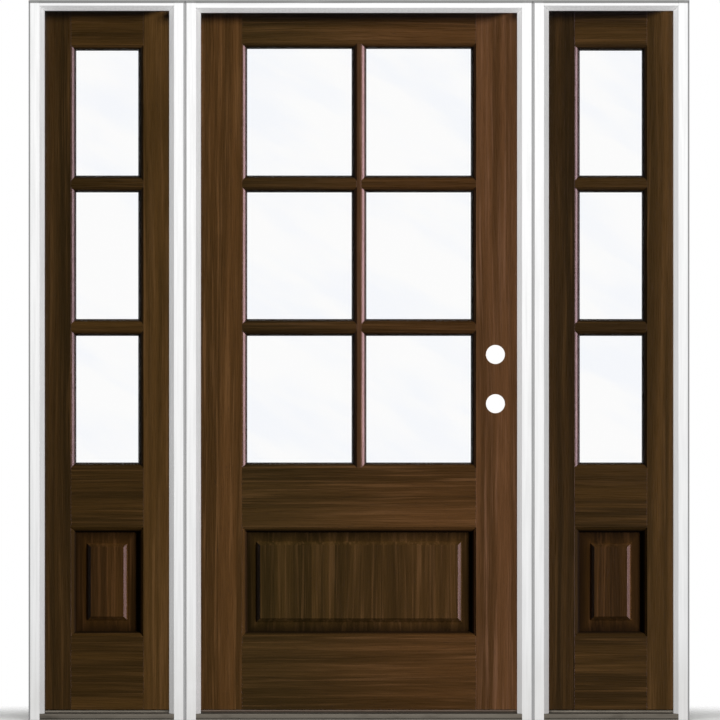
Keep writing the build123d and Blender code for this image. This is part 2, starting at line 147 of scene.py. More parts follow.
def mix_colours(tree, share, first, second, blend="MIX"):
    settings = {"data_type": "RGBA", "blend_type": blend}
    return add_node(tree, "ShaderNodeMix", settings, {0: share, 6: first, 7: second}).outputs[2]


def drawn_noise(tree, place, scale, detail=2.0):
    """Noise with its own number of waves to the metre on each axis."""
    spread = vector_maths(tree, "MULTIPLY", place, scale)
    inputs = {"Vector": spread, "Scale": 1.0, "Detail": detail}
    return add_node(tree, "ShaderNodeTexNoise", {}, inputs).outputs[0]


def object_place(tree):
    """Place on the piece itself, whole and as its three parts."""
    place = add_node(tree, "ShaderNodeTexCoord").outputs["Object"]
    return place, add_node(tree, "ShaderNodeSeparateXYZ", {}, {0: place}).outputs


def new_material(name):
    """A material with its tree and its main shader."""
    material = bpy.data.materials.new(name)
    material.use_nodes = True
    tree = material.node_tree
    return material, tree, tree.nodes["Principled BSDF"]


def bump(tree, shader, height, strength, distance):
    inputs = {"Height": height, "Strength": strength, "Distance": distance}
    tree.links.new(add_node(tree, "ShaderNodeBump", {}, inputs).outputs[0], shader.inputs["Normal"])


def soften(piece, width, segments=2):
    """Join the faces of a piece and take the knife edge off its arrises."""
    weld = piece.modifiers.new("joined_faces", "WELD")
    weld.merge_threshold = 0.00001
    arris = piece.modifiers.new("soft_arris", "BEVEL")
    arris.width = width
    arris.segments = segments
    arris.limit_method = "ANGLE"
    arris.angle_limit = math.radians(30)
    piece.modifiers.new("flat_faces", "WEIGHTED_NORMAL")


def finish_piece(name, material, width):
    """Give a piece of the frame its finish and its soft arrises."""
    for slot in nodes[name].material_slots:
        slot.material = material
    soften(nodes[name], width)


def within(tree, value, middle, reach):
    return maths(tree, "COMPARE", value, middle, reach)


def primer(name, waves):
    """Rolled white primer, with the grain of the board telegraphing through it, dust at the foot, and grey
    painted shade on the eased arrises.
    """
    material, tree, shader = new_material(name)
    place, (x, y, z) = object_place(tree)
    grain = drawn_noise(tree, place, waves, 3.0)
    stipple = drawn_noise(tree, place, STIPPLE_WAVES, 2.0)
    paint = mix_colours(tree, ease(tree, grain, 0.35, 0.75), colour(WHITE_PRIMER), colour(THIN_PRIMER))
    cloud = drawn_noise(tree, place, DUST_WAVES, 3.0)
    low = maths(tree, "MULTIPLY", ease(tree, z, 0.0, DUST_HEIGHT, DUST_SHARE, 0.0), cloud)
    paint = mix_colours(tree, low, paint, colour(FOOT_DUST))
    # The front eased arrises, the mull groove and the head's top arris are painted grey as shade, the head's
    # darker.
    across = maths(tree, "ABSOLUTE", x)
    edge = within(tree, across, unit_edge, JAMB_EASE)
    edge = maths(tree, "MAXIMUM", edge, within(tree, across, mull_line, JAMB_EASE))
    along_head = maths(tree, "GREATER_THAN", z, unit_top - HEAD_EASE)
    edge = maths(tree, "MAXIMUM", edge, along_head)
    sloped = within(tree, y, unit_front + JAMB_EASE / 2, JAMB_EASE / 2 - 0.0001)
    shade_breakup = ease(tree, grain, 0.1, 0.5, 0.8, 1.0)
    painted_arris_shade = maths(tree, "MULTIPLY", maths(tree, "MULTIPLY", edge, sloped), shade_breakup)
    arris_shade_colour = mix_colours(tree, along_head, colour(ARRIS_PAINTED_SHADE), colour(HEAD_ARRIS_PAINTED_SHADE))
    paint = mix_colours(tree, painted_arris_shade, paint, arris_shade_colour)
    tree.links.new(paint, shader.inputs["Base Color"])
    tree.links.new(ease(tree, stipple, 0.3, 0.7, 0.42, 0.58), shader.inputs["Roughness"])
    shader.inputs["Specular IOR Level"].default_value = 0.35
    height = maths(tree, "MULTIPLY_ADD", grain, 1.6, stipple)
    bump(tree, shader, height, 0.35, 0.00025)
    return material


upright_primer = primer("primed_upright_board", UPRIGHT_WAVES)
level_primer = primer("primed_level_board", LEVEL_WAVES)
for name in BOARDS:
    finish_piece(name, upright_primer, JAMB_SOFTNESS)
for name in ("door", "left_sidelite", "right_sidelite"):
    finish_piece(name + "_head_jamb", level_primer, JAMB_SOFTNESS)


# Strike jamb: the jamb board on the lock side, primed like the rest.
# The strike mortises and bolt holes are cut on site after priming, so they show bare pine.

BARE_PINE = (196, 160, 112)
BARE_PINE_DARK = (158, 118, 74)
CUT_WAVES = (300.0, 900.0, 60.0)
CUT_ROUGHNESS = 0.75
CUT_MARGIN = 0.0004
PREP_REACH = Vector((0.030, 0.0146, 0.0353))
LOCK_BORES = ("latch_bore", "deadbolt_bore")

lock_places = [mount for mount in frame["record"]["mounts"] if mount["name"] in LOCK_BORES]
lock_levels = [mount["pos_m"][2] for mount in lock_places]
lock_x = lock_places[0]["pos_m"][0]
lock_y = lock_places[0]["pos_m"][1]
lock_radius = lock_places[0]["dims"]["r_mm"] / 1000


def box_mask(tree, parts, middle, reach):
    """One inside a box round a point, nought outside it."""
    inside = [within(tree, part, centre, half) for part, centre, half in zip(parts, middle, reach)]
    return maths(tree, "MULTIPLY", maths(tree, "MULTIPLY", inside[0], inside[1]), inside[2])


def cut_wood(tree, shader, place, mask, light, dark):
    """Lay bare, unfinished wood over a finish wherever the mask is one."""
    fibres = drawn_noise(tree, place, CUT_WAVES, 3.0)
    bare = mix_colours(tree, fibres, colour(light), colour(dark))
    finish = shader.inputs["Base Color"].links[0].from_socket
    sheen = shader.inputs["Roughness"].links[0].from_socket
    tree.links.new(mix_colours(tree, mask, finish, bare), shader.inputs["Base Color"])
    tree.links.new(ease(tree, mask, 0.0, 1.0, sheen, CUT_ROUGHNESS), shader.inputs["Roughness"])


strike_primer = primer("primed_strike_board", UPRIGHT_WAVES)
strike_tree = strike_primer.node_tree
strike_place, strike_parts = object_place(strike_tree)
strike_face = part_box("door_strike_jamb")[0].x
strike_cut = 0.0
for level in lock_levels:
    middle = (strike_face + PREP_REACH.x + CUT_MARGIN, lock_y, level)
    mortise = box_mask(strike_tree, strike_parts, middle, PREP_REACH)
    strike_cut = maths(strike_tree, "MAXIMUM", strike_cut, mortise)
strike_shader = strike_tree.nodes["Principled BSDF"]
cut_wood(strike_tree, strike_shader, strike_place, strike_cut, BARE_PINE, BARE_PINE_DARK)
finish_piece("door_strike_jamb", strike_primer, JAMB_SOFTNESS)


# Stops: bevelled strips planted round the inside of each box, primed with it.
# They are mitred at the head and scribed to the sill; the door's take the weatherstrip in a kerf.

STOP_SOFTNESS = 0.0008

for name in ("door", "left_sidelite", "right_sidelite"):
    finish_piece(name + "_stops", upright_primer, STOP_SOFTNESS)


# Sills: hollow aluminium extrusions with a bronze grey mill finish, ribbed for grip.
# They are screwed up into the feet of the jambs; the ribs are rolled into the sloping deck.

SILL_METAL = (82, 77, 69)
SILL_WEAR = (98, 92, 83)
SILL_GRIME = (54, 49, 41)
SILL_SOFTNESS = 0.0004
DIE_LINES = (4.0, 900.0, 900.0)
DIRT_WAVES = (11.0, 40.0, 40.0)
NOSING_HEIGHT = 0.017
RIB_COUNT = 9
RIB_SECTION = (
    (-0.0012, 0.0), (-0.0009, 0.00063), (-0.00036, 0.0012),
    (0.00036, 0.0012), (0.0009, 0.00063), (0.0012, 0.0),
)
RIB_MARGIN = 0.007
STOP_ROOM = 0.0155
RIB_SINK = 0.0003

deck_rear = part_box("door_sill")[1].z
deck_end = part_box("door_threshold_cap")[0].y


def brushed_metal(name, bright, worn, grime):
    """Extruded metal with die lines along its length and dirt in patches."""
    material, tree, shader = new_material(name)
    place = object_place(tree)[0]
    lines = drawn_noise(tree, place, DIE_LINES, 2.0)
    patches = drawn_noise(tree, place, DIRT_WAVES, 4.0)
    metal = mix_colours(tree, ease(tree, lines, 0.3, 0.7), colour(bright), colour(worn))
    metal = mix_colours(tree, ease(tree, patches, 0.5, 0.85, 0.0, 0.7), metal, colour(grime))
    tree.links.new(metal, shader.inputs["Base Color"])
    rough = maths(tree, "MULTIPLY_ADD", patches, 0.22, ease(tree, lines, 0.2, 0.8, 0.30, 0.42))
    tree.links.new(rough, shader.inputs["Roughness"])
    shader.inputs["Metallic"].default_value = 0.85
    bump(tree, shader, lines, 0.25, 0.0001)
    return material


def new_piece(name, mesh):
    """Put a finished mesh into the scene as a piece of its own."""
    data = bpy.data.meshes.new(name)
    mesh.to_mesh(data)
    mesh.free()
    piece = bpy.data.objects.new(name, data)
    bpy.context.scene.collection.objects.link(piece)
    return piece


def prisms(name, outlines, x0, x1):
    """One mesh of closed prisms along X, each from an outline of (y, z) points."""
    mesh = bmesh.new()
    for outline in outlines:
        near = [mesh.verts.new((x0, y, z)) for y, z in outline]
        far = [mesh.verts.new((x1, y, z)) for y, z in outline]
        mesh.faces.new(near)
        mesh.faces.new(list(reversed(far)))
        for index in range(len(outline)):
            after = (index + 1) % len(outline)
            mesh.faces.new((near[after], near[index], far[index], far[after]))
    bmesh.ops.recalc_face_normals(mesh, faces=mesh.faces[:])
    return new_piece(name, mesh)


def deck_ribs(name, sill):
    """Rounded grip ribs side by side up the slope of one sill's deck."""
    low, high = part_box(sill)
    rise = (deck_rear - NOSING_HEIGHT) / (deck_end - unit_front)
    pitch = (deck_end - unit_front - 2 * RIB_MARGIN) / (RIB_COUNT - 1)
    outlines = []
    for rib in range(RIB_COUNT):
        y = unit_front + RIB_MARGIN + rib * pitch
        foot = NOSING_HEIGHT + rise * (y - unit_front) - RIB_SINK
        outlines.append([(y + across, foot + up) for across, up in RIB_SECTION])
    return prisms(name, outlines, low.x + STOP_ROOM, high.x - STOP_ROOM)


sill_metal = brushed_metal("bronze_grey_sill", SILL_METAL, SILL_WEAR, SILL_GRIME)
for name in ("door_sill", "left_sidelite_sill", "right_sidelite_sill"):
    finish_piece(name, sill_metal, SILL_SOFTNESS)
    ribs = deck_ribs(name + "_ribs", name)
    ribs.data.materials.append(sill_metal)
    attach(ribs, "frame")


# Threshold cap: a grey brown composite strip that the sweep runs on.
# Its tongue is pressed into the slot of the door sill, and adjuster screws hold it down.

CAP_SHADE = (96, 84, 70)
CAP_STREAK = (70, 60, 49)
CAP_WAVES = (6.0, 700.0, 700.0)
CAP_SOFTNESS = 0.0005
SCREW_METAL = (150, 146, 138)
SCREW_RADIUS = 0.0042
SCREW_RISE = 0.0004
CAP_SCREWS = 4
HEAD_SIDES = 24
SLOT_SHARES = (0.16, 0.58)
RECESS_SHARE = 0.45

cap_material, cap_tree, cap_shader = new_material("threshold_composite")
cap_place = object_place(cap_tree)[0]
cap_streaks = drawn_noise(cap_tree, cap_place, CAP_WAVES, 3.0)
cap_share = ease(cap_tree, cap_streaks, 0.35, 0.65)
cap_mix = mix_colours(cap_tree, cap_share, colour(CAP_SHADE), colour(CAP_STREAK))
cap_tree.links.new(cap_mix, cap_shader.inputs["Base Color"])
cap_tree.links.new(ease(cap_tree, cap_streaks, 0.2, 0.8, 0.45, 0.62), cap_shader.inputs["Roughness"])
bump(cap_tree, cap_shader, cap_streaks, 0.3, 0.0002)
finish_piece("door_threshold_cap", cap_material, CAP_SOFTNESS)


def screw_heads(name, places, outward, radius, rise):
    """Countersunk screw heads with a cross recess, set on a face that points outward."""
    mesh = bmesh.new()
    outward = Vector(outward)
    aside = outward.orthogonal().normalized()
    upward = outward.cross(aside)
    near, far = (radius * share for share in SLOT_SHARES)
    recess = radius * RECESS_SHARE
    for place in places:
        place = Vector(place)

        def at(u, v, out):
            return mesh.verts.new(place + aside * u + upward * v + outward * out)

        ring = []
        skirt = []
        for turn in range(HEAD_SIDES):
            angle = math.tau * turn / HEAD_SIDES
            u, v = math.cos(angle), math.sin(angle)
            ring.append(at(radius * 0.9 * u, radius * 0.9 * v, rise))
            skirt.append(at(radius * u, radius * v, -rise))
        cross = [
            (far, -near), (far, near), (near, near), (near, far), (-near, far), (-near, near),
            (-far, near), (-far, -near), (-near, -near), (-near, -far), (near, -far), (near, -near),
        ]
        rim = [at(u, v, rise) for u, v in cross]
        floor = [at(u * 0.7, v * 0.7, rise - recess) for u, v in cross]
        for turn in range(HEAD_SIDES):
            after = (turn + 1) % HEAD_SIDES
            mesh.faces.new((skirt[turn], skirt[after], ring[after], ring[turn]))
            first, second = rim[turn // 2], rim[(turn // 2 + 1) % 12]
            if turn % 2:
                mesh.faces.new((ring[turn], ring[after], second, first))
            else:
                mesh.faces.new((ring[turn], ring[after], first))
        for step in range(12):
            after = (step + 1) % 12
            mesh.faces.new((rim[step], rim[after], floor[after], floor[step]))
        mesh.faces.new(floor)
        mesh.faces.new(list(reversed(skirt)))
    bmesh.ops.recalc_face_normals(mesh, faces=mesh.faces[:])
    return new_piece(name, mesh)


screw_metal = brushed_metal("plated_screw", SCREW_METAL, SCREW_METAL, SILL_GRIME)
cap_low, cap_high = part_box("door_threshold_cap")
cap_span = cap_high.x - cap_low.x
cap_places = []
for screw in range(CAP_SCREWS):
    x = cap_low.x + cap_span * (screw + 0.5) / CAP_SCREWS
    cap_places.append((x, (cap_low.y + cap_high.y) / 2, cap_high.z))
cap_screws = screw_heads("threshold_screws", cap_places, (0, 0, 1), SCREW_RADIUS, SCREW_RISE)
cap_screws.data.materials.append(screw_metal)
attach(cap_screws, "frame")


# Sidelite leaves: stiles, rails and bars of hardwood, coped and doweled, with a raised panel.
# They are stained dark walnut and lacquered, with shade painted near black into the moulded sticking and the
# panel shoulders, darkest where they are deepest.
# Each leaf is fixed against its stops and on the seat of its sill.

WOOD_SOFTNESS = 0.0005
# The right stile's colours are paler than the left's: painted light, as lit from the right.
SIDELITE_LEFT_SHADES = ((38, 26, 8), (53, 36, 14), (72, 51, 26))
SIDELITE_RIGHT_LIT_SHADES = ((52, 36, 12), (72, 50, 22), (92, 66, 37))
SIDELITE_RAIL_SHADES = ((44, 30, 9), (61, 42, 16), (81, 57, 29))
SIDELITE_FIELD_SHADES = ((43, 27, 8), (59, 38, 14), (80, 53, 28))
MOULDING_PAINTED_SHADE = (7, 4, 2)
STICKING_DEPTHS = (0.0012, 0.0100)
SHOULDER_DEPTHS = (0.0105, 0.0175)
PAINTED_SHADE_SHARE = 0.85
EDGE_ROOM = 0.006
STAVE_WIDTH = 0.098
GLASS_SEAT = 0.0162

BOARD_SHIFT = (7.31, 3.93, 17.17)
WANDER_WAVES = (2.2, 2.2, 0.7)
WANDER_REACH = 0.05
BAND_WAVES = (26.0, 26.0, 0.5)
FIGURE_WAVES = (9.0, 9.0, 0.22)
RING_TURNS = 60.0
STREAK_WAVES = (130.0, 130.0, 2.6)
FIBRE_WAVES = (900.0, 900.0, 12.0)
PORE_WAVES = (1500.0, 1500.0, 42.0)
PORE_SHADE = (0.004, 0.002, 0.001, 1.0)
LACQUER_GLOSS = 0.3
DULL_GLOSS = 0.03
DULL_ROUGHNESS = 0.8

leaf_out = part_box("door_hinge_stile")[0].y
leaf_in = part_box("door_hinge_stile")[1].y
panel_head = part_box("door_panel")[1].z
wood_names = []


def grain_group():
    """Stained wood grain along Z: broad bands, contour figure, streaks, fibres and pores."""
    tree = bpy.data.node_groups.new("stained_grain", "ShaderNodeTree")
    sockets = tree.interface
    sockets.new_socket("Place", in_out="INPUT", socket_type="NodeSocketVector")
    sockets.new_socket("Board", in_out="INPUT", socket_type="NodeSocketFloat")
    for shade in ("Dark", "Middle", "Light"):
        sockets.new_socket(shade, in_out="INPUT", socket_type="NodeSocketColor")
    sockets.new_socket("Colour", in_out="OUTPUT", socket_type="NodeSocketColor")
    sockets.new_socket("Roughness", in_out="OUTPUT", socket_type="NodeSocketFloat")
    sockets.new_socket("Height", in_out="OUTPUT", socket_type="NodeSocketFloat")
    given = tree.nodes.new("NodeGroupInput").outputs
    shift = vector_maths(tree, "MULTIPLY", given["Board"], BOARD_SHIFT)
    place = vector_maths(tree, "ADD", given["Place"], shift)
    wander = maths(tree, "MULTIPLY", drawn_noise(tree, place, WANDER_WAVES, 2.0), WANDER_REACH)
    bend = add_node(tree, "ShaderNodeCombineXYZ", {}, {0: wander}).outputs[0]
    place = vector_maths(tree, "ADD", place, bend)
    bands = drawn_noise(tree, place, BAND_WAVES, 2.5)
    figure = drawn_noise(tree, place, FIGURE_WAVES, 1.0)
    rings = maths(tree, "SINE", maths(tree, "MULTIPLY", figure, RING_TURNS))
    streaks = drawn_noise(tree, place, STREAK_WAVES, 2.0)
    fibres = drawn_noise(tree, place, FIBRE_WAVES, 2.0)
    pores = ease(tree, drawn_noise(tree, place, PORE_WAVES, 1.0), 0.64, 0.74)
    wood = mix_colours(tree, ease(tree, bands, 0.36, 0.62), given["Dark"], given["Middle"])
    wood = mix_colours(tree, ease(tree, streaks, 0.48, 0.72, 0.0, 0.60), wood, given["Light"])
    late = ease(tree, rings, -1.0, 0.6, 0.40, 0.0)
    wood = mix_colours(tree, late, wood, given["Dark"])
    tone = add_node(tree, "ShaderNodeCombineColor").inputs
    fleck = ease(tree, fibres, 0.25, 0.75, 0.78, 1.16)
    for channel in tone:
        tree.links.new(fleck, channel)
    wood = mix_colours(tree, 1.0, wood, tone[0].node.outputs[0], "MULTIPLY")
    wood = mix_colours(tree, maths(tree, "MULTIPLY", pores, 0.5), wood, PORE_SHADE)
    rough = maths(tree, "MULTIPLY_ADD", pores, 0.2, ease(tree, fibres, 0.2, 0.8, 0.24, 0.36))
    height = maths(tree, "MULTIPLY_ADD", rings, 0.12, fibres)
    height = maths(tree, "MULTIPLY_ADD", pores, -0.9, height)
    result = {"Colour": wood, "Roughness": rough, "Height": height}
    add_node(tree, "NodeGroupOutput", {}, result)
    return tree


def moulding_shade_group():
    """How much painted shade goes into a moulding, more with depth, and where it dulls the lacquer by a
    panel.
    """
    tree = bpy.data.node_groups.new("painted_moulding_shade", "ShaderNodeTree")
    sockets = tree.interface
    sockets.new_socket("Place", in_out="INPUT", socket_type="NodeSocketVector")
    for name in ("Start", "Full", "End", "Middle X", "Reach X", "Middle Z", "Reach Z"):
        sockets.new_socket(name, in_out="INPUT", socket_type="NodeSocketFloat")
    for name in ("Mask", "Dull"):
        sockets.new_socket(name, in_out="OUTPUT", socket_type="NodeSocketFloat")
    given = tree.nodes.new("NodeGroupInput").outputs
    x, y, z = add_node(tree, "ShaderNodeSeparateXYZ", {}, {0: given["Place"]}).outputs
    off_middle = maths(tree, "ABSOLUTE", maths(tree, "SUBTRACT", y, (leaf_out + leaf_in) / 2))
    depth = maths(tree, "SUBTRACT", (leaf_in - leaf_out) / 2, off_middle)
    inside = maths(tree, "LESS_THAN", depth, given["End"])
    inside = maths(tree, "MULTIPLY", inside, within(tree, x, given["Middle X"], given["Reach X"]))
    inside = maths(tree, "MULTIPLY", inside, within(tree, z, given["Middle Z"], given["Reach Z"]))
    painted_shade = maths(tree, "MULTIPLY", inside, ease(tree, depth, given["Start"], given["Full"]))
    moulded = maths(tree, "MULTIPLY", inside, maths(tree, "GREATER_THAN", depth, given["Start"]))
    dull = maths(tree, "MULTIPLY", moulded, maths(tree, "LESS_THAN", z, panel_head))
    add_node(tree, "NodeGroupOutput", {}, {"Mask": painted_shade, "Dull": dull})
    return tree


grain = grain_group()
moulding_shade = moulding_shade_group()


def stained_wood(name, shades, along, leaf_box, depths, board, stave=0.0, right_lit_shades=None, turn=0.02):
    """Lacquered stained wood with its grain along X or Z, painted shade in its mouldings, and, where right
    colours are given, painted paler towards the right as lit from there.
    """
    material, tree, shader = new_material(name)
    place, (x, y, z) = object_place(tree)
    if along == "X":
        grain_place = add_node(tree, "ShaderNodeCombineXYZ", {}, {0: z, 1: y, 2: x}).outputs[0]
    else:
        grain_place = place
    if stave:
        number = maths(tree, "FLOOR", maths(tree, "MULTIPLY_ADD", x, 1 / stave, board))
        settings = {"noise_dimensions": "1D"}
        board = add_node(tree, "ShaderNodeTexWhiteNoise", settings, {"W": number}).outputs[0]
    low, high = leaf_box
    middle = (low + high) / 2
    reach = (high - low) / 2
    inputs = {"Place": grain_place, "Board": board}
    inputs.update({key: colour(shade) for key, shade in zip(("Dark", "Middle", "Light"), shades)})
    if right_lit_shades:
        # Paler towards the right: painted light, as lit from the right.
        lit_share = ease(tree, x, middle.x - turn, middle.x + turn)
        for key, shade in zip(("Dark", "Middle", "Light"), right_lit_shades):
            inputs[key] = mix_colours(tree, lit_share, inputs[key], colour(shade))
    wood = add_node(tree, "ShaderNodeGroup", {"node_tree": grain}, inputs).outputs
    inputs = {
        "Place": place,
        "Start": depths[0],
        "Full": depths[1],
        "End": GLASS_SEAT,
        "Middle X": middle.x,
        "Reach X": reach.x - EDGE_ROOM,
        "Middle Z": middle.z,
        "Reach Z": reach.z - EDGE_ROOM,
    }
    shade_and_dull = add_node(tree, "ShaderNodeGroup", {"node_tree": moulding_shade}, inputs).outputs
    # The mouldings are painted near black with depth: painted shade.
    share = maths(tree, "MULTIPLY", shade_and_dull["Mask"], PAINTED_SHADE_SHARE)
    stain_and_shade = mix_colours(tree, share, wood["Colour"], colour(MOULDING_PAINTED_SHADE))
    tree.links.new(stain_and_shade, shader.inputs["Base Color"])
    rough = ease(tree, shade_and_dull["Dull"], 0.0, 1.0, wood["Roughness"], DULL_ROUGHNESS)
    tree.links.new(rough, shader.inputs["Roughness"])
    gloss = ease(tree, shade_and_dull["Dull"], 0.0, 1.0, LACQUER_GLOSS, DULL_GLOSS)
    tree.links.new(gloss, shader.inputs["Specular IOR Level"])
    bump(tree, shader, wood["Height"], 0.3, 0.0003)
    return material


for side, board in (("left_sidelite", 0.0), ("right_sidelite", 0.43)):
    leaf_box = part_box(side + "_stiles")
    upright = stained_wood(
        side + "_upright",
        SIDELITE_LEFT_SHADES,
        "Z",
        leaf_box,
        STICKING_DEPTHS,
        board,
        right_lit_shades=SIDELITE_RIGHT_LIT_SHADES,
    )
    level = stained_wood(side + "_level", SIDELITE_RAIL_SHADES, "X", leaf_box, STICKING_DEPTHS, board + 0.2)
    field = stained_wood(
        side + "_field", SIDELITE_FIELD_SHADES, "Z", leaf_box, SHOULDER_DEPTHS, board + 0.3, STAVE_WIDTH
    )
    members = {"stiles": upright, "rails": level, "muntins": level, "glazing_beads": upright, "panel": field}
    for member, wood in members.items():
        finish_piece(side + "_" + member, wood, WOOD_SOFTNESS)
        wood_names.append(side + "_" + member)


# Door leaf: the same joinery as the sidelites, wider, with two columns of panes over one panel.
# The lock stile is painted redder and paler than the hinge stile, as lit from the right; the bores in it
# were drilled after finishing.

# The right-hand colours of the rails, bars and panel, and the lock stile's colours, are paler and redder:
# painted light, as lit from the right.
DOOR_STILE_SHADES = ((60, 40, 16), (81, 54, 26), (102, 72, 42))
DOOR_MUNTIN_SHADES = ((66, 44, 25), (88, 60, 40), (108, 80, 60))
DOOR_RAIL_SHADES = ((45, 32, 11), (63, 45, 20), (85, 61, 34))
DOOR_RAIL_RIGHT_LIT = ((60, 39, 15), (82, 54, 27), (104, 72, 44))
DOOR_BAR_SHADES = ((40, 28, 9), (56, 39, 16), (74, 53, 29))
DOOR_BAR_RIGHT_LIT = ((49, 31, 10), (68, 44, 19), (88, 60, 33))
LOCK_STILE_LIT_SHADES = ((69, 45, 22), (89, 59, 34), (111, 79, 57))
DOOR_FIELD_SHADES = ((41, 30, 9), (58, 42, 17), (80, 58, 32))
DOOR_FIELD_RIGHT_LIT = ((52, 35, 13), (73, 50, 23), (96, 67, 40))
DOOR_TURN = 0.30
BARE_OAK = (186, 150, 106)
BARE_OAK_DARK = (140, 100, 62)
BORE_MARGIN = 0.0003
EDGE_PREP_REACH = Vector((0.036, 0.0146, 0.0290))

door_box = (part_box("door_hinge_stile")[0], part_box("door_lock_stile")[1])
door_upright = stained_wood("door_upright", DOOR_STILE_SHADES, "Z", door_box, STICKING_DEPTHS, 0.11)
door_level = stained_wood(
    "door_level",
    DOOR_RAIL_SHADES,
    "X",
    door_box,
    STICKING_DEPTHS,
    0.57,
    right_lit_shades=DOOR_RAIL_RIGHT_LIT,
    turn=DOOR_TURN,
)
door_bar = stained_wood(
    "door_bar",
    DOOR_BAR_SHADES,
    "X",
    door_box,
    STICKING_DEPTHS,
    0.71,
    right_lit_shades=DOOR_BAR_RIGHT_LIT,
    turn=DOOR_TURN,
)
door_muntin = stained_wood("door_muntin", DOOR_MUNTIN_SHADES, "Z", door_box, STICKING_DEPTHS, 0.29)
door_field = stained_wood(
    "door_field",
    DOOR_FIELD_SHADES,
    "Z",
    door_box,
    SHOULDER_DEPTHS,
    0.37,
    STAVE_WIDTH,
    right_lit_shades=DOOR_FIELD_RIGHT_LIT,
    turn=DOOR_TURN,
)
door_lock = stained_wood("door_lock_stile_wood", LOCK_STILE_LIT_SHADES, "Z", door_box, STICKING_DEPTHS, 0.83)

lock_tree = door_lock.node_tree
lock_place, lock_parts = object_place(lock_tree)
lock_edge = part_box("door_lock_stile")[1].x
lock_cut = 0.0
for level in lock_levels:
    across = maths(lock_tree, "SUBTRACT", lock_parts[0], lock_x)
    up = maths(lock_tree, "SUBTRACT", lock_parts[2], level)
    off_axis = add_node(lock_tree, "ShaderNodeCombineXYZ", {}, {0: across, 2: up}).outputs[0]
    bore = maths(lock_tree, "LESS_THAN", vector_length(lock_tree, off_axis), lock_radius + BORE_MARGIN)
    prep_middle = (lock_edge - CUT_MARGIN - EDGE_PREP_REACH.x, lock_y, level)
    prep = box_mask(lock_tree, lock_parts, prep_middle, EDGE_PREP_REACH)
    lock_cut = maths(lock_tree, "MAXIMUM", lock_cut, maths(lock_tree, "MAXIMUM", bore, prep))
lock_shader = lock_tree.nodes["Principled BSDF"]
cut_wood(lock_tree, lock_shader, lock_place, lock_cut, BARE_OAK, BARE_OAK_DARK)

door_members = {
    "hinge_stile": door_upright,
    "lock_stile": door_lock,
    "panel": door_field,
    "vertical_muntin": door_muntin,
    "cross_muntins": door_bar,
    "glazing_beads": door_upright,
    "top_rail": door_level,
    "mid_rail": door_level,
    "bottom_rail": door_level,
}
for member, wood in door_members.items():
    finish_piece("door_" + member, wood, WOOD_SOFTNESS)
    wood_names.append("door_" + member)


# Sealed glass: two clear sheets to a pane, held apart by an aluminium spacer with black edge sealant.
# The unit is bedded on the sticking with black glazing compound, and a bead holds it from inside.

GLASS_TINT = (255, 255, 255)
GLASS_PAINTED_REFLECTION = (252, 253, 255)
CLOUD_SLANT = (0.0, -0.5, 0.0)
CLOUD_WAVES = (2.0, 1.0, 7.0)
SPACER_METAL = (176, 178, 180)
COMPOUND_BLACK = (12, 11, 10)
COMPOUND_GREY = (24, 23, 22)
COMPOUND_WAVES = (140.0, 400.0, 140.0)
SPACER_INSET = 0.0015
SPACER_WIDTH = 0.0070
SHEET_PLAY = 0.00005
SIGHT_INSET = 0.0115
COMPOUND_WIDTH = 0.0010
COMPOUND_TUCK = 0.0003

glass_material, glass_tree, glass_shader = new_material("clear_sealed_glass")
glass_place = object_place(glass_tree)[0]
glass_slant = add_node(glass_tree, "ShaderNodeMapping", {}, {0: glass_place, 2: CLOUD_SLANT}).outputs[0]
# Faint slanted bluish clouds in the glass's tint: a painted reflection.
painted_reflection_share = ease(glass_tree, drawn_noise(glass_tree, glass_slant, CLOUD_WAVES, 3.0), 0.42, 0.66)
glass_tint = mix_colours(glass_tree, painted_reflection_share, colour(GLASS_TINT), colour(GLASS_PAINTED_REFLECTION))
glass_tree.links.new(glass_tint, glass_shader.inputs["Base Color"])
glass_shader.inputs["Transmission Weight"].default_value = 1.0
glass_shader.inputs["Roughness"].default_value = 0.0
glass_shader.inputs["IOR"].default_value = 1.45
glass_shader.inputs["Specular IOR Level"].default_value = 0.3

spacer_metal = brushed_metal("spacer_aluminium", SPACER_METAL, SPACER_METAL, SILL_GRIME)
compound, compound_tree, compound_shader = new_material("black_glazing_compound")
compound_place = object_place(compound_tree)[0]
compound_grain = drawn_noise(compound_tree, compound_place, COMPOUND_WAVES, 2.0)
compound_shade = mix_colours(compound_tree, compound_grain, colour(COMPOUND_BLACK), colour(COMPOUND_GREY))
compound_tree.links.new(compound_shade, compound_shader.inputs["Base Color"])
compound_shader.inputs["Roughness"].default_value = 0.7
compound_shader.inputs["Specular IOR Level"].default_value = 0.15
bump(compound_tree, compound_shader, compound_grain, 0.3, 0.0003)


def levels_of(node, axis):
    """Start and end of each stretch of a node's flat faces along one axis."""
    stops = sorted({round(vertex.co[axis], 5) for vertex in nodes[node].data.vertices})
    return list(zip(stops[::2], stops[1::2]))


def pane_rings(name, glass, section):
    """Mitred rings round every pane, from a section of (inset from the sheet's edge, y) points."""
    mesh = bmesh.new()
    for x0, x1 in levels_of(glass, 0):
        for z0, z1 in levels_of(glass, 2):
            rings = []
            for inset, y in section:
                corners = [
                    (x0 + inset, y, z0 + inset),
                    (x1 - inset, y, z0 + inset),
                    (x1 - inset, y, z1 - inset),
                    (x0 + inset, y, z1 - inset),
                ]
                rings.append([mesh.verts.new(corner) for corner in corners])
            for step, ring in enumerate(rings):
                after = rings[(step + 1) % len(rings)]
                for corner in range(4):
                    beyond = (corner + 1) % 4
                    mesh.faces.new((ring[corner], ring[beyond], after[beyond], after[corner]))
    bmesh.ops.recalc_face_normals(mesh, faces=mesh.faces[:])
    return new_piece(name, mesh)


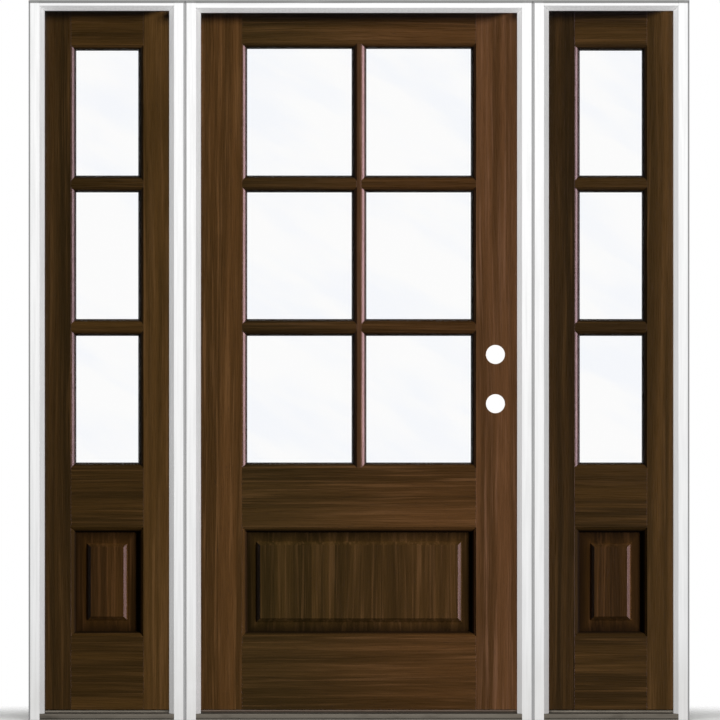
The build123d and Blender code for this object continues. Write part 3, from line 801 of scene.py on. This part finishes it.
for leaf, body in (("door", "door"), ("left_sidelite", "frame"), ("right_sidelite", "frame")):
    glass = leaf + "_glass"
    for slot in nodes[glass].material_slots:
        slot.material = glass_material
    outer, inner = levels_of(glass, 1)
    near = outer[1] + SHEET_PLAY
    far = inner[0] - SHEET_PLAY
    wide = SPACER_INSET + SPACER_WIDTH
    spacer = [(SPACER_INSET, near), (wide, near), (wide, far), (SPACER_INSET, far)]
    spacers = pane_rings(leaf + "_glass_spacers", glass, spacer)
    spacers.data.materials.append(spacer_metal)
    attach(spacers, body)
    tuck = SIGHT_INSET - COMPOUND_TUCK
    sight = SIGHT_INSET + COMPOUND_WIDTH
    outside = [(tuck, outer[0]), (sight, outer[0]), (tuck, outer[0] - COMPOUND_WIDTH)]
    inside = [(tuck, inner[1]), (sight, inner[1]), (tuck, inner[1] + COMPOUND_WIDTH)]
    for face, section in (("outside", outside), ("inside", inside)):
        line = pane_rings(leaf + "_glazing_compound_" + face, glass, section)
        line.data.materials.append(compound)
        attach(line, body)
        wood_names.append(line.name)


# Butt hinges: three pairs of round-cornered steel leaves with five knuckles, satin nickel plated.
# The leaves are let into the door edge and the jamb flush, and four countersunk screws hold each.

HINGE_METAL = (186, 181, 172)
HINGE_BRIGHT = (206, 202, 194)
HINGE_GRIME = (104, 98, 90)
HINGE_SOFTNESS = 0.0003
HINGE_SCREW = 0.0041
HINGE_SCREW_RISE = 0.0002
HINGE_APART = 0.2
SCREW_ROWS = (-0.0400, -0.0140, 0.0140, 0.0400)
SCREW_DEPTHS = (0.013, 0.026, 0.026, 0.013)

hinge_metal = brushed_metal("satin_nickel", HINGE_METAL, HINGE_BRIGHT, HINGE_GRIME)
for name in ("door_hinge_leaves", "jamb_hinge_leaves", "hinge_pins"):
    finish_piece(name, hinge_metal, HINGE_SOFTNESS)


def hinge_levels():
    """Middle height of each hinge, from the ends of the pins."""
    ends = sorted({round(vertex.co.z, 4) for vertex in nodes["hinge_pins"].data.vertices})
    spans = []
    for end in ends:
        if not spans or end - spans[-1][0] > HINGE_APART:
            spans.append([end, end])
        spans[-1][1] = end
    return [(low + high) / 2 for low, high in spans]


door_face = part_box("door_hinge_stile")[0].x
jamb_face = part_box("door_hinge_jamb")[1].x
for name, face, outward, body in (("door", door_face, -1, "door"), ("jamb", jamb_face, 1, "frame")):
    places = []
    for middle in hinge_levels():
        for row, depth in zip(SCREW_ROWS, SCREW_DEPTHS):
            places.append((face, leaf_in - depth, middle + row))
    screws = screw_heads(name + "_hinge_screws", places, (outward, 0, 0), HINGE_SCREW, HINGE_SCREW_RISE)
    screws.data.materials.append(screw_metal)
    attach(screws, body)


# Weatherstrip and sweep: foam in a white vinyl skin, barbed into the kerf of the stops,
# and a brown vinyl sweep with three fins, stapled to the foot of the leaf.

SEAL_SKIN = (212, 210, 204)
SEAL_SHADE = (186, 183, 176)
SWEEP_SHADE = (86, 65, 48)
SWEEP_SCUFF = (102, 82, 64)
SEAL_WAVES = (90.0, 90.0, 90.0)
SWEEP_WAVES = (30.0, 200.0, 200.0)
SEAL_SOFTNESS = 0.0012
SWEEP_SOFTNESS = 0.0003


def vinyl(name, shade, scuff, waves, rough):
    """Vinyl with a faint wrinkle and scuffed patches."""
    material, tree, shader = new_material(name)
    place = object_place(tree)[0]
    wrinkle = drawn_noise(tree, place, waves, 3.0)
    skin = mix_colours(tree, ease(tree, wrinkle, 0.4, 0.75), colour(shade), colour(scuff))
    tree.links.new(skin, shader.inputs["Base Color"])
    tree.links.new(ease(tree, wrinkle, 0.2, 0.8, rough - 0.08, rough + 0.08), shader.inputs["Roughness"])
    bump(tree, shader, wrinkle, 0.4, 0.0004)
    return material


seal_vinyl = vinyl("seal_vinyl", SEAL_SKIN, SEAL_SHADE, SEAL_WAVES, 0.6)
finish_piece("door_weatherstrip", seal_vinyl, SEAL_SOFTNESS)
sweep_vinyl = vinyl("sweep_vinyl", SWEEP_SHADE, SWEEP_SCUFF, SWEEP_WAVES, 0.5)
finish_piece("door_sweep", sweep_vinyl, SWEEP_SOFTNESS)


# Floor: a pale studio floor that fades out into a white background.
# It keeps the soft shadow at the foot of the unit, and is not there seen from below.

FLOOR_SHADE = (240, 240, 238)
FLOOR_SIZE = 9.0
FLOOR_DROP = 0.0005
FADE_START = 0.9
FADE_END = 2.2

floor_mesh = bmesh.new()
bmesh.ops.create_grid(floor_mesh, x_segments=1, y_segments=1, size=FLOOR_SIZE / 2)
floor = new_piece("studio_floor", floor_mesh)
floor.location.z = cad_low.z - FLOOR_DROP
floor_material, floor_tree, floor_shader = new_material("pale_floor")
floor_place = object_place(floor_tree)[0]
floor_reach = vector_length(floor_tree, floor_place)
floor_shader.inputs["Base Color"].default_value = colour(FLOOR_SHADE)
floor_shader.inputs["Roughness"].default_value = 0.8
floor_shader.inputs["Specular IOR Level"].default_value = 0.1
floor_under = add_node(floor_tree, "ShaderNodeNewGeometry").outputs["Backfacing"]
floor_fade = ease(floor_tree, floor_reach, FADE_START, FADE_END, 1.0, 0.0)
floor_seen = maths(floor_tree, "MULTIPLY", floor_fade, maths(floor_tree, "SUBTRACT", 1.0, floor_under))
floor_tree.links.new(floor_seen, floor_shader.inputs["Alpha"])
floor.data.materials.append(floor_material)
floor.visible_glossy = False
floor.visible_diffuse = False


# Light: a soft lamp in front for the paint, metal and floor, in a white room that is dim in front.
# The stained wood has its own lamp from the upper right, which models its mouldings, and a tall
# rosy strip on the right that only glints in its lacquer. Only the heads throw a shadow on it.

FRONT_LIGHT = 0.06
REAR_LIGHT = 1.0
ROOM_GLOSS = 0.04
REAR_GLOSS = 0.40
PAINT_LAMP_PLACE = Vector((0.2, -5.8, 2.5))
PAINT_LAMP_SIZE = 2.6
PAINT_LAMP_POWER = 385.0
WOOD_LAMP_FROM = Vector((0.79, -0.55, 0.28))
WOOD_LAMP_STRENGTH = 6.0
WOOD_LAMP_SPREAD = math.radians(12)
STRIP_PLACE = Vector((3.6, -1.1, 1.3))
STRIP_WIDTH = 2.6
STRIP_HEIGHT = 3.6
STRIP_POWER = 540.0
STRIP_COLOUR = (1.0, 0.68, 0.80)
AIM = Vector((0.0, 0.0, 1.05))


def soft_lamp(name, place, width, height, power):
    data = bpy.data.lights.new(name, "AREA")
    data.shape = "RECTANGLE"
    data.size = width
    data.size_y = height
    data.energy = power
    lamp = bpy.data.objects.new(name, data)
    lamp.location = place
    lamp.rotation_euler = (AIM - place).to_track_quat("-Z", "Y").to_euler()
    bpy.context.scene.collection.objects.link(lamp)
    return lamp


wood_group = bpy.data.collections.new("stained_wood_pieces")
other_group = bpy.data.collections.new("paint_metal_and_floor")
shade_group = bpy.data.collections.new("wood_and_heads")
for piece in bpy.context.scene.objects:
    if piece.name in wood_names or piece.name.endswith("_head_jamb"):
        shade_group.objects.link(piece)
    if piece.name in wood_names:
        wood_group.objects.link(piece)
    elif piece.type == "MESH" and not piece.name.endswith("_glass"):
        other_group.objects.link(piece)

paint_lamp = soft_lamp("paint_lamp", PAINT_LAMP_PLACE, PAINT_LAMP_SIZE, PAINT_LAMP_SIZE, PAINT_LAMP_POWER)
paint_lamp.light_linking.receiver_collection = other_group
wood_sun = bpy.data.lights.new("wood_lamp", "SUN")
wood_sun.energy = WOOD_LAMP_STRENGTH
wood_sun.angle = WOOD_LAMP_SPREAD
wood_lamp = bpy.data.objects.new("wood_lamp", wood_sun)
wood_lamp.rotation_euler = (-WOOD_LAMP_FROM).to_track_quat("-Z", "Y").to_euler()
wood_lamp.visible_glossy = False
bpy.context.scene.collection.objects.link(wood_lamp)
strip = soft_lamp("glint_strip", STRIP_PLACE, STRIP_WIDTH, STRIP_HEIGHT, STRIP_POWER)
strip.data.color = STRIP_COLOUR
strip.visible_diffuse = False
for lamp, shades in ((wood_lamp, shade_group), (strip, wood_group)):
    lamp.light_linking.receiver_collection = wood_group
    lamp.light_linking.blocker_collection = shades

room = bpy.data.worlds.new("white_room")
room.use_nodes = True
bpy.context.scene.world = room
room_tree = room.node_tree
ray = add_node(room_tree, "ShaderNodeLightPath").outputs
heading = add_node(room_tree, "ShaderNodeTexCoord").outputs["Generated"]
heading_y = add_node(room_tree, "ShaderNodeSeparateXYZ", {}, {0: heading}).outputs[1]
gloss = ease(room_tree, heading_y, 0.1, 0.6, ROOM_GLOSS, REAR_GLOSS)
gloss = maths(room_tree, "MULTIPLY", gloss, ray["Is Glossy Ray"])
seen = maths(room_tree, "MAXIMUM", ray["Is Camera Ray"], ray["Is Transmission Ray"])
seen = maths(room_tree, "MAXIMUM", seen, gloss)
lit = maths(room_tree, "MAXIMUM", ray["Is Camera Ray"], ray["Is Glossy Ray"])
lit = maths(room_tree, "MAXIMUM", lit, ray["Is Transmission Ray"])
even = ease(room_tree, heading_y, 0.0, 0.5, FRONT_LIGHT, REAR_LIGHT)
even = maths(room_tree, "MULTIPLY", maths(room_tree, "SUBTRACT", 1.0, lit), even)
background = room_tree.nodes["Background"]
background.inputs["Color"].default_value = (1, 1, 1, 1)
room_tree.links.new(maths(room_tree, "ADD", seen, even), background.inputs["Strength"])
bpy.context.scene.view_settings.view_transform = "Standard"


# Camera: straight ahead and far away, so that it shows almost no perspective.
# The unit fills the frame from sill to head.

CAMERA_DISTANCE = 45.0
CAMERA_ASIDE = 0.0028
SENSOR = 36.0

camera_data = bpy.data.cameras.new("front_camera")
camera_data.sensor_width = SENSOR
camera_data.lens = SENSOR * (CAMERA_DISTANCE + unit_front) / (cad_high.z - cad_low.z)
camera_data.clip_end = 100.0
camera = bpy.data.objects.new("front_camera", camera_data)
camera.location = (CAMERA_ASIDE, -CAMERA_DISTANCE, (cad_low.z + cad_high.z) / 2)
camera.rotation_euler = (math.radians(90), 0, 0)
bpy.context.scene.collection.objects.link(camera)
bpy.context.scene.camera = camera
